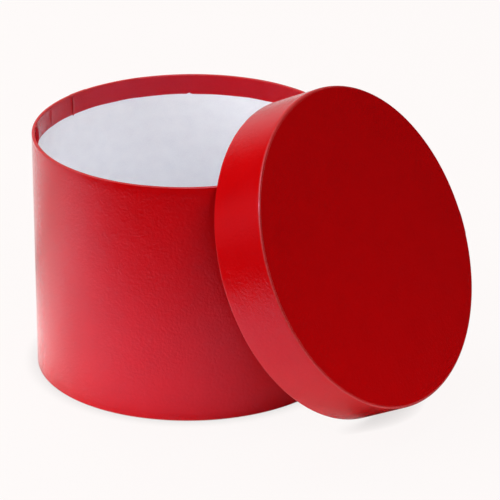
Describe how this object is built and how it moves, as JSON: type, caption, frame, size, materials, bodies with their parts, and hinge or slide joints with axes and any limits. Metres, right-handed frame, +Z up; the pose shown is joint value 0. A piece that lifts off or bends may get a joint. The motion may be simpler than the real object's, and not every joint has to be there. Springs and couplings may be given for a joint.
{
  "type": "round gift box",
  "caption": "Round paper-covered board box with a white lining; its shallow lid is off and leans on the open rim.",
  "frame": {"origin": "centre of the box's underside, on the surface that the box stands on", "axes": "+Z up along the box's axis, +X the way the lid leans away from the box, with the lid's own axis in the XZ plane"},
  "size_m": [0.281, 0.207, 0.2014],
  "materials": {
    "covering_paper": "satin red covering paper with a fine pressed grain",
    "lining_paper": "matte white lining paper",
    "greyboard": "raw grey pulp board"
  },
  "bodies": {
    "box": {"wall_board": "greyboard", "base_board": "greyboard", "wall_paper": "covering_paper", "base_paper": "covering_paper", "wall_lining": "lining_paper", "floor_lining": "lining_paper"},
    "lid": {"lid_wall_board": "greyboard", "lid_top_board": "greyboard", "lid_wall_paper": "covering_paper", "lid_top_paper": "covering_paper", "lid_wall_lining": "lining_paper", "lid_top_lining": "lining_paper"}
  },
  "joints": [
    {"name": "lid_lift", "type": "slide", "parent": "box", "child": "lid", "axis": [0.8988, 0, 0.4384], "range_m": [0, 0.2]}
  ]
}
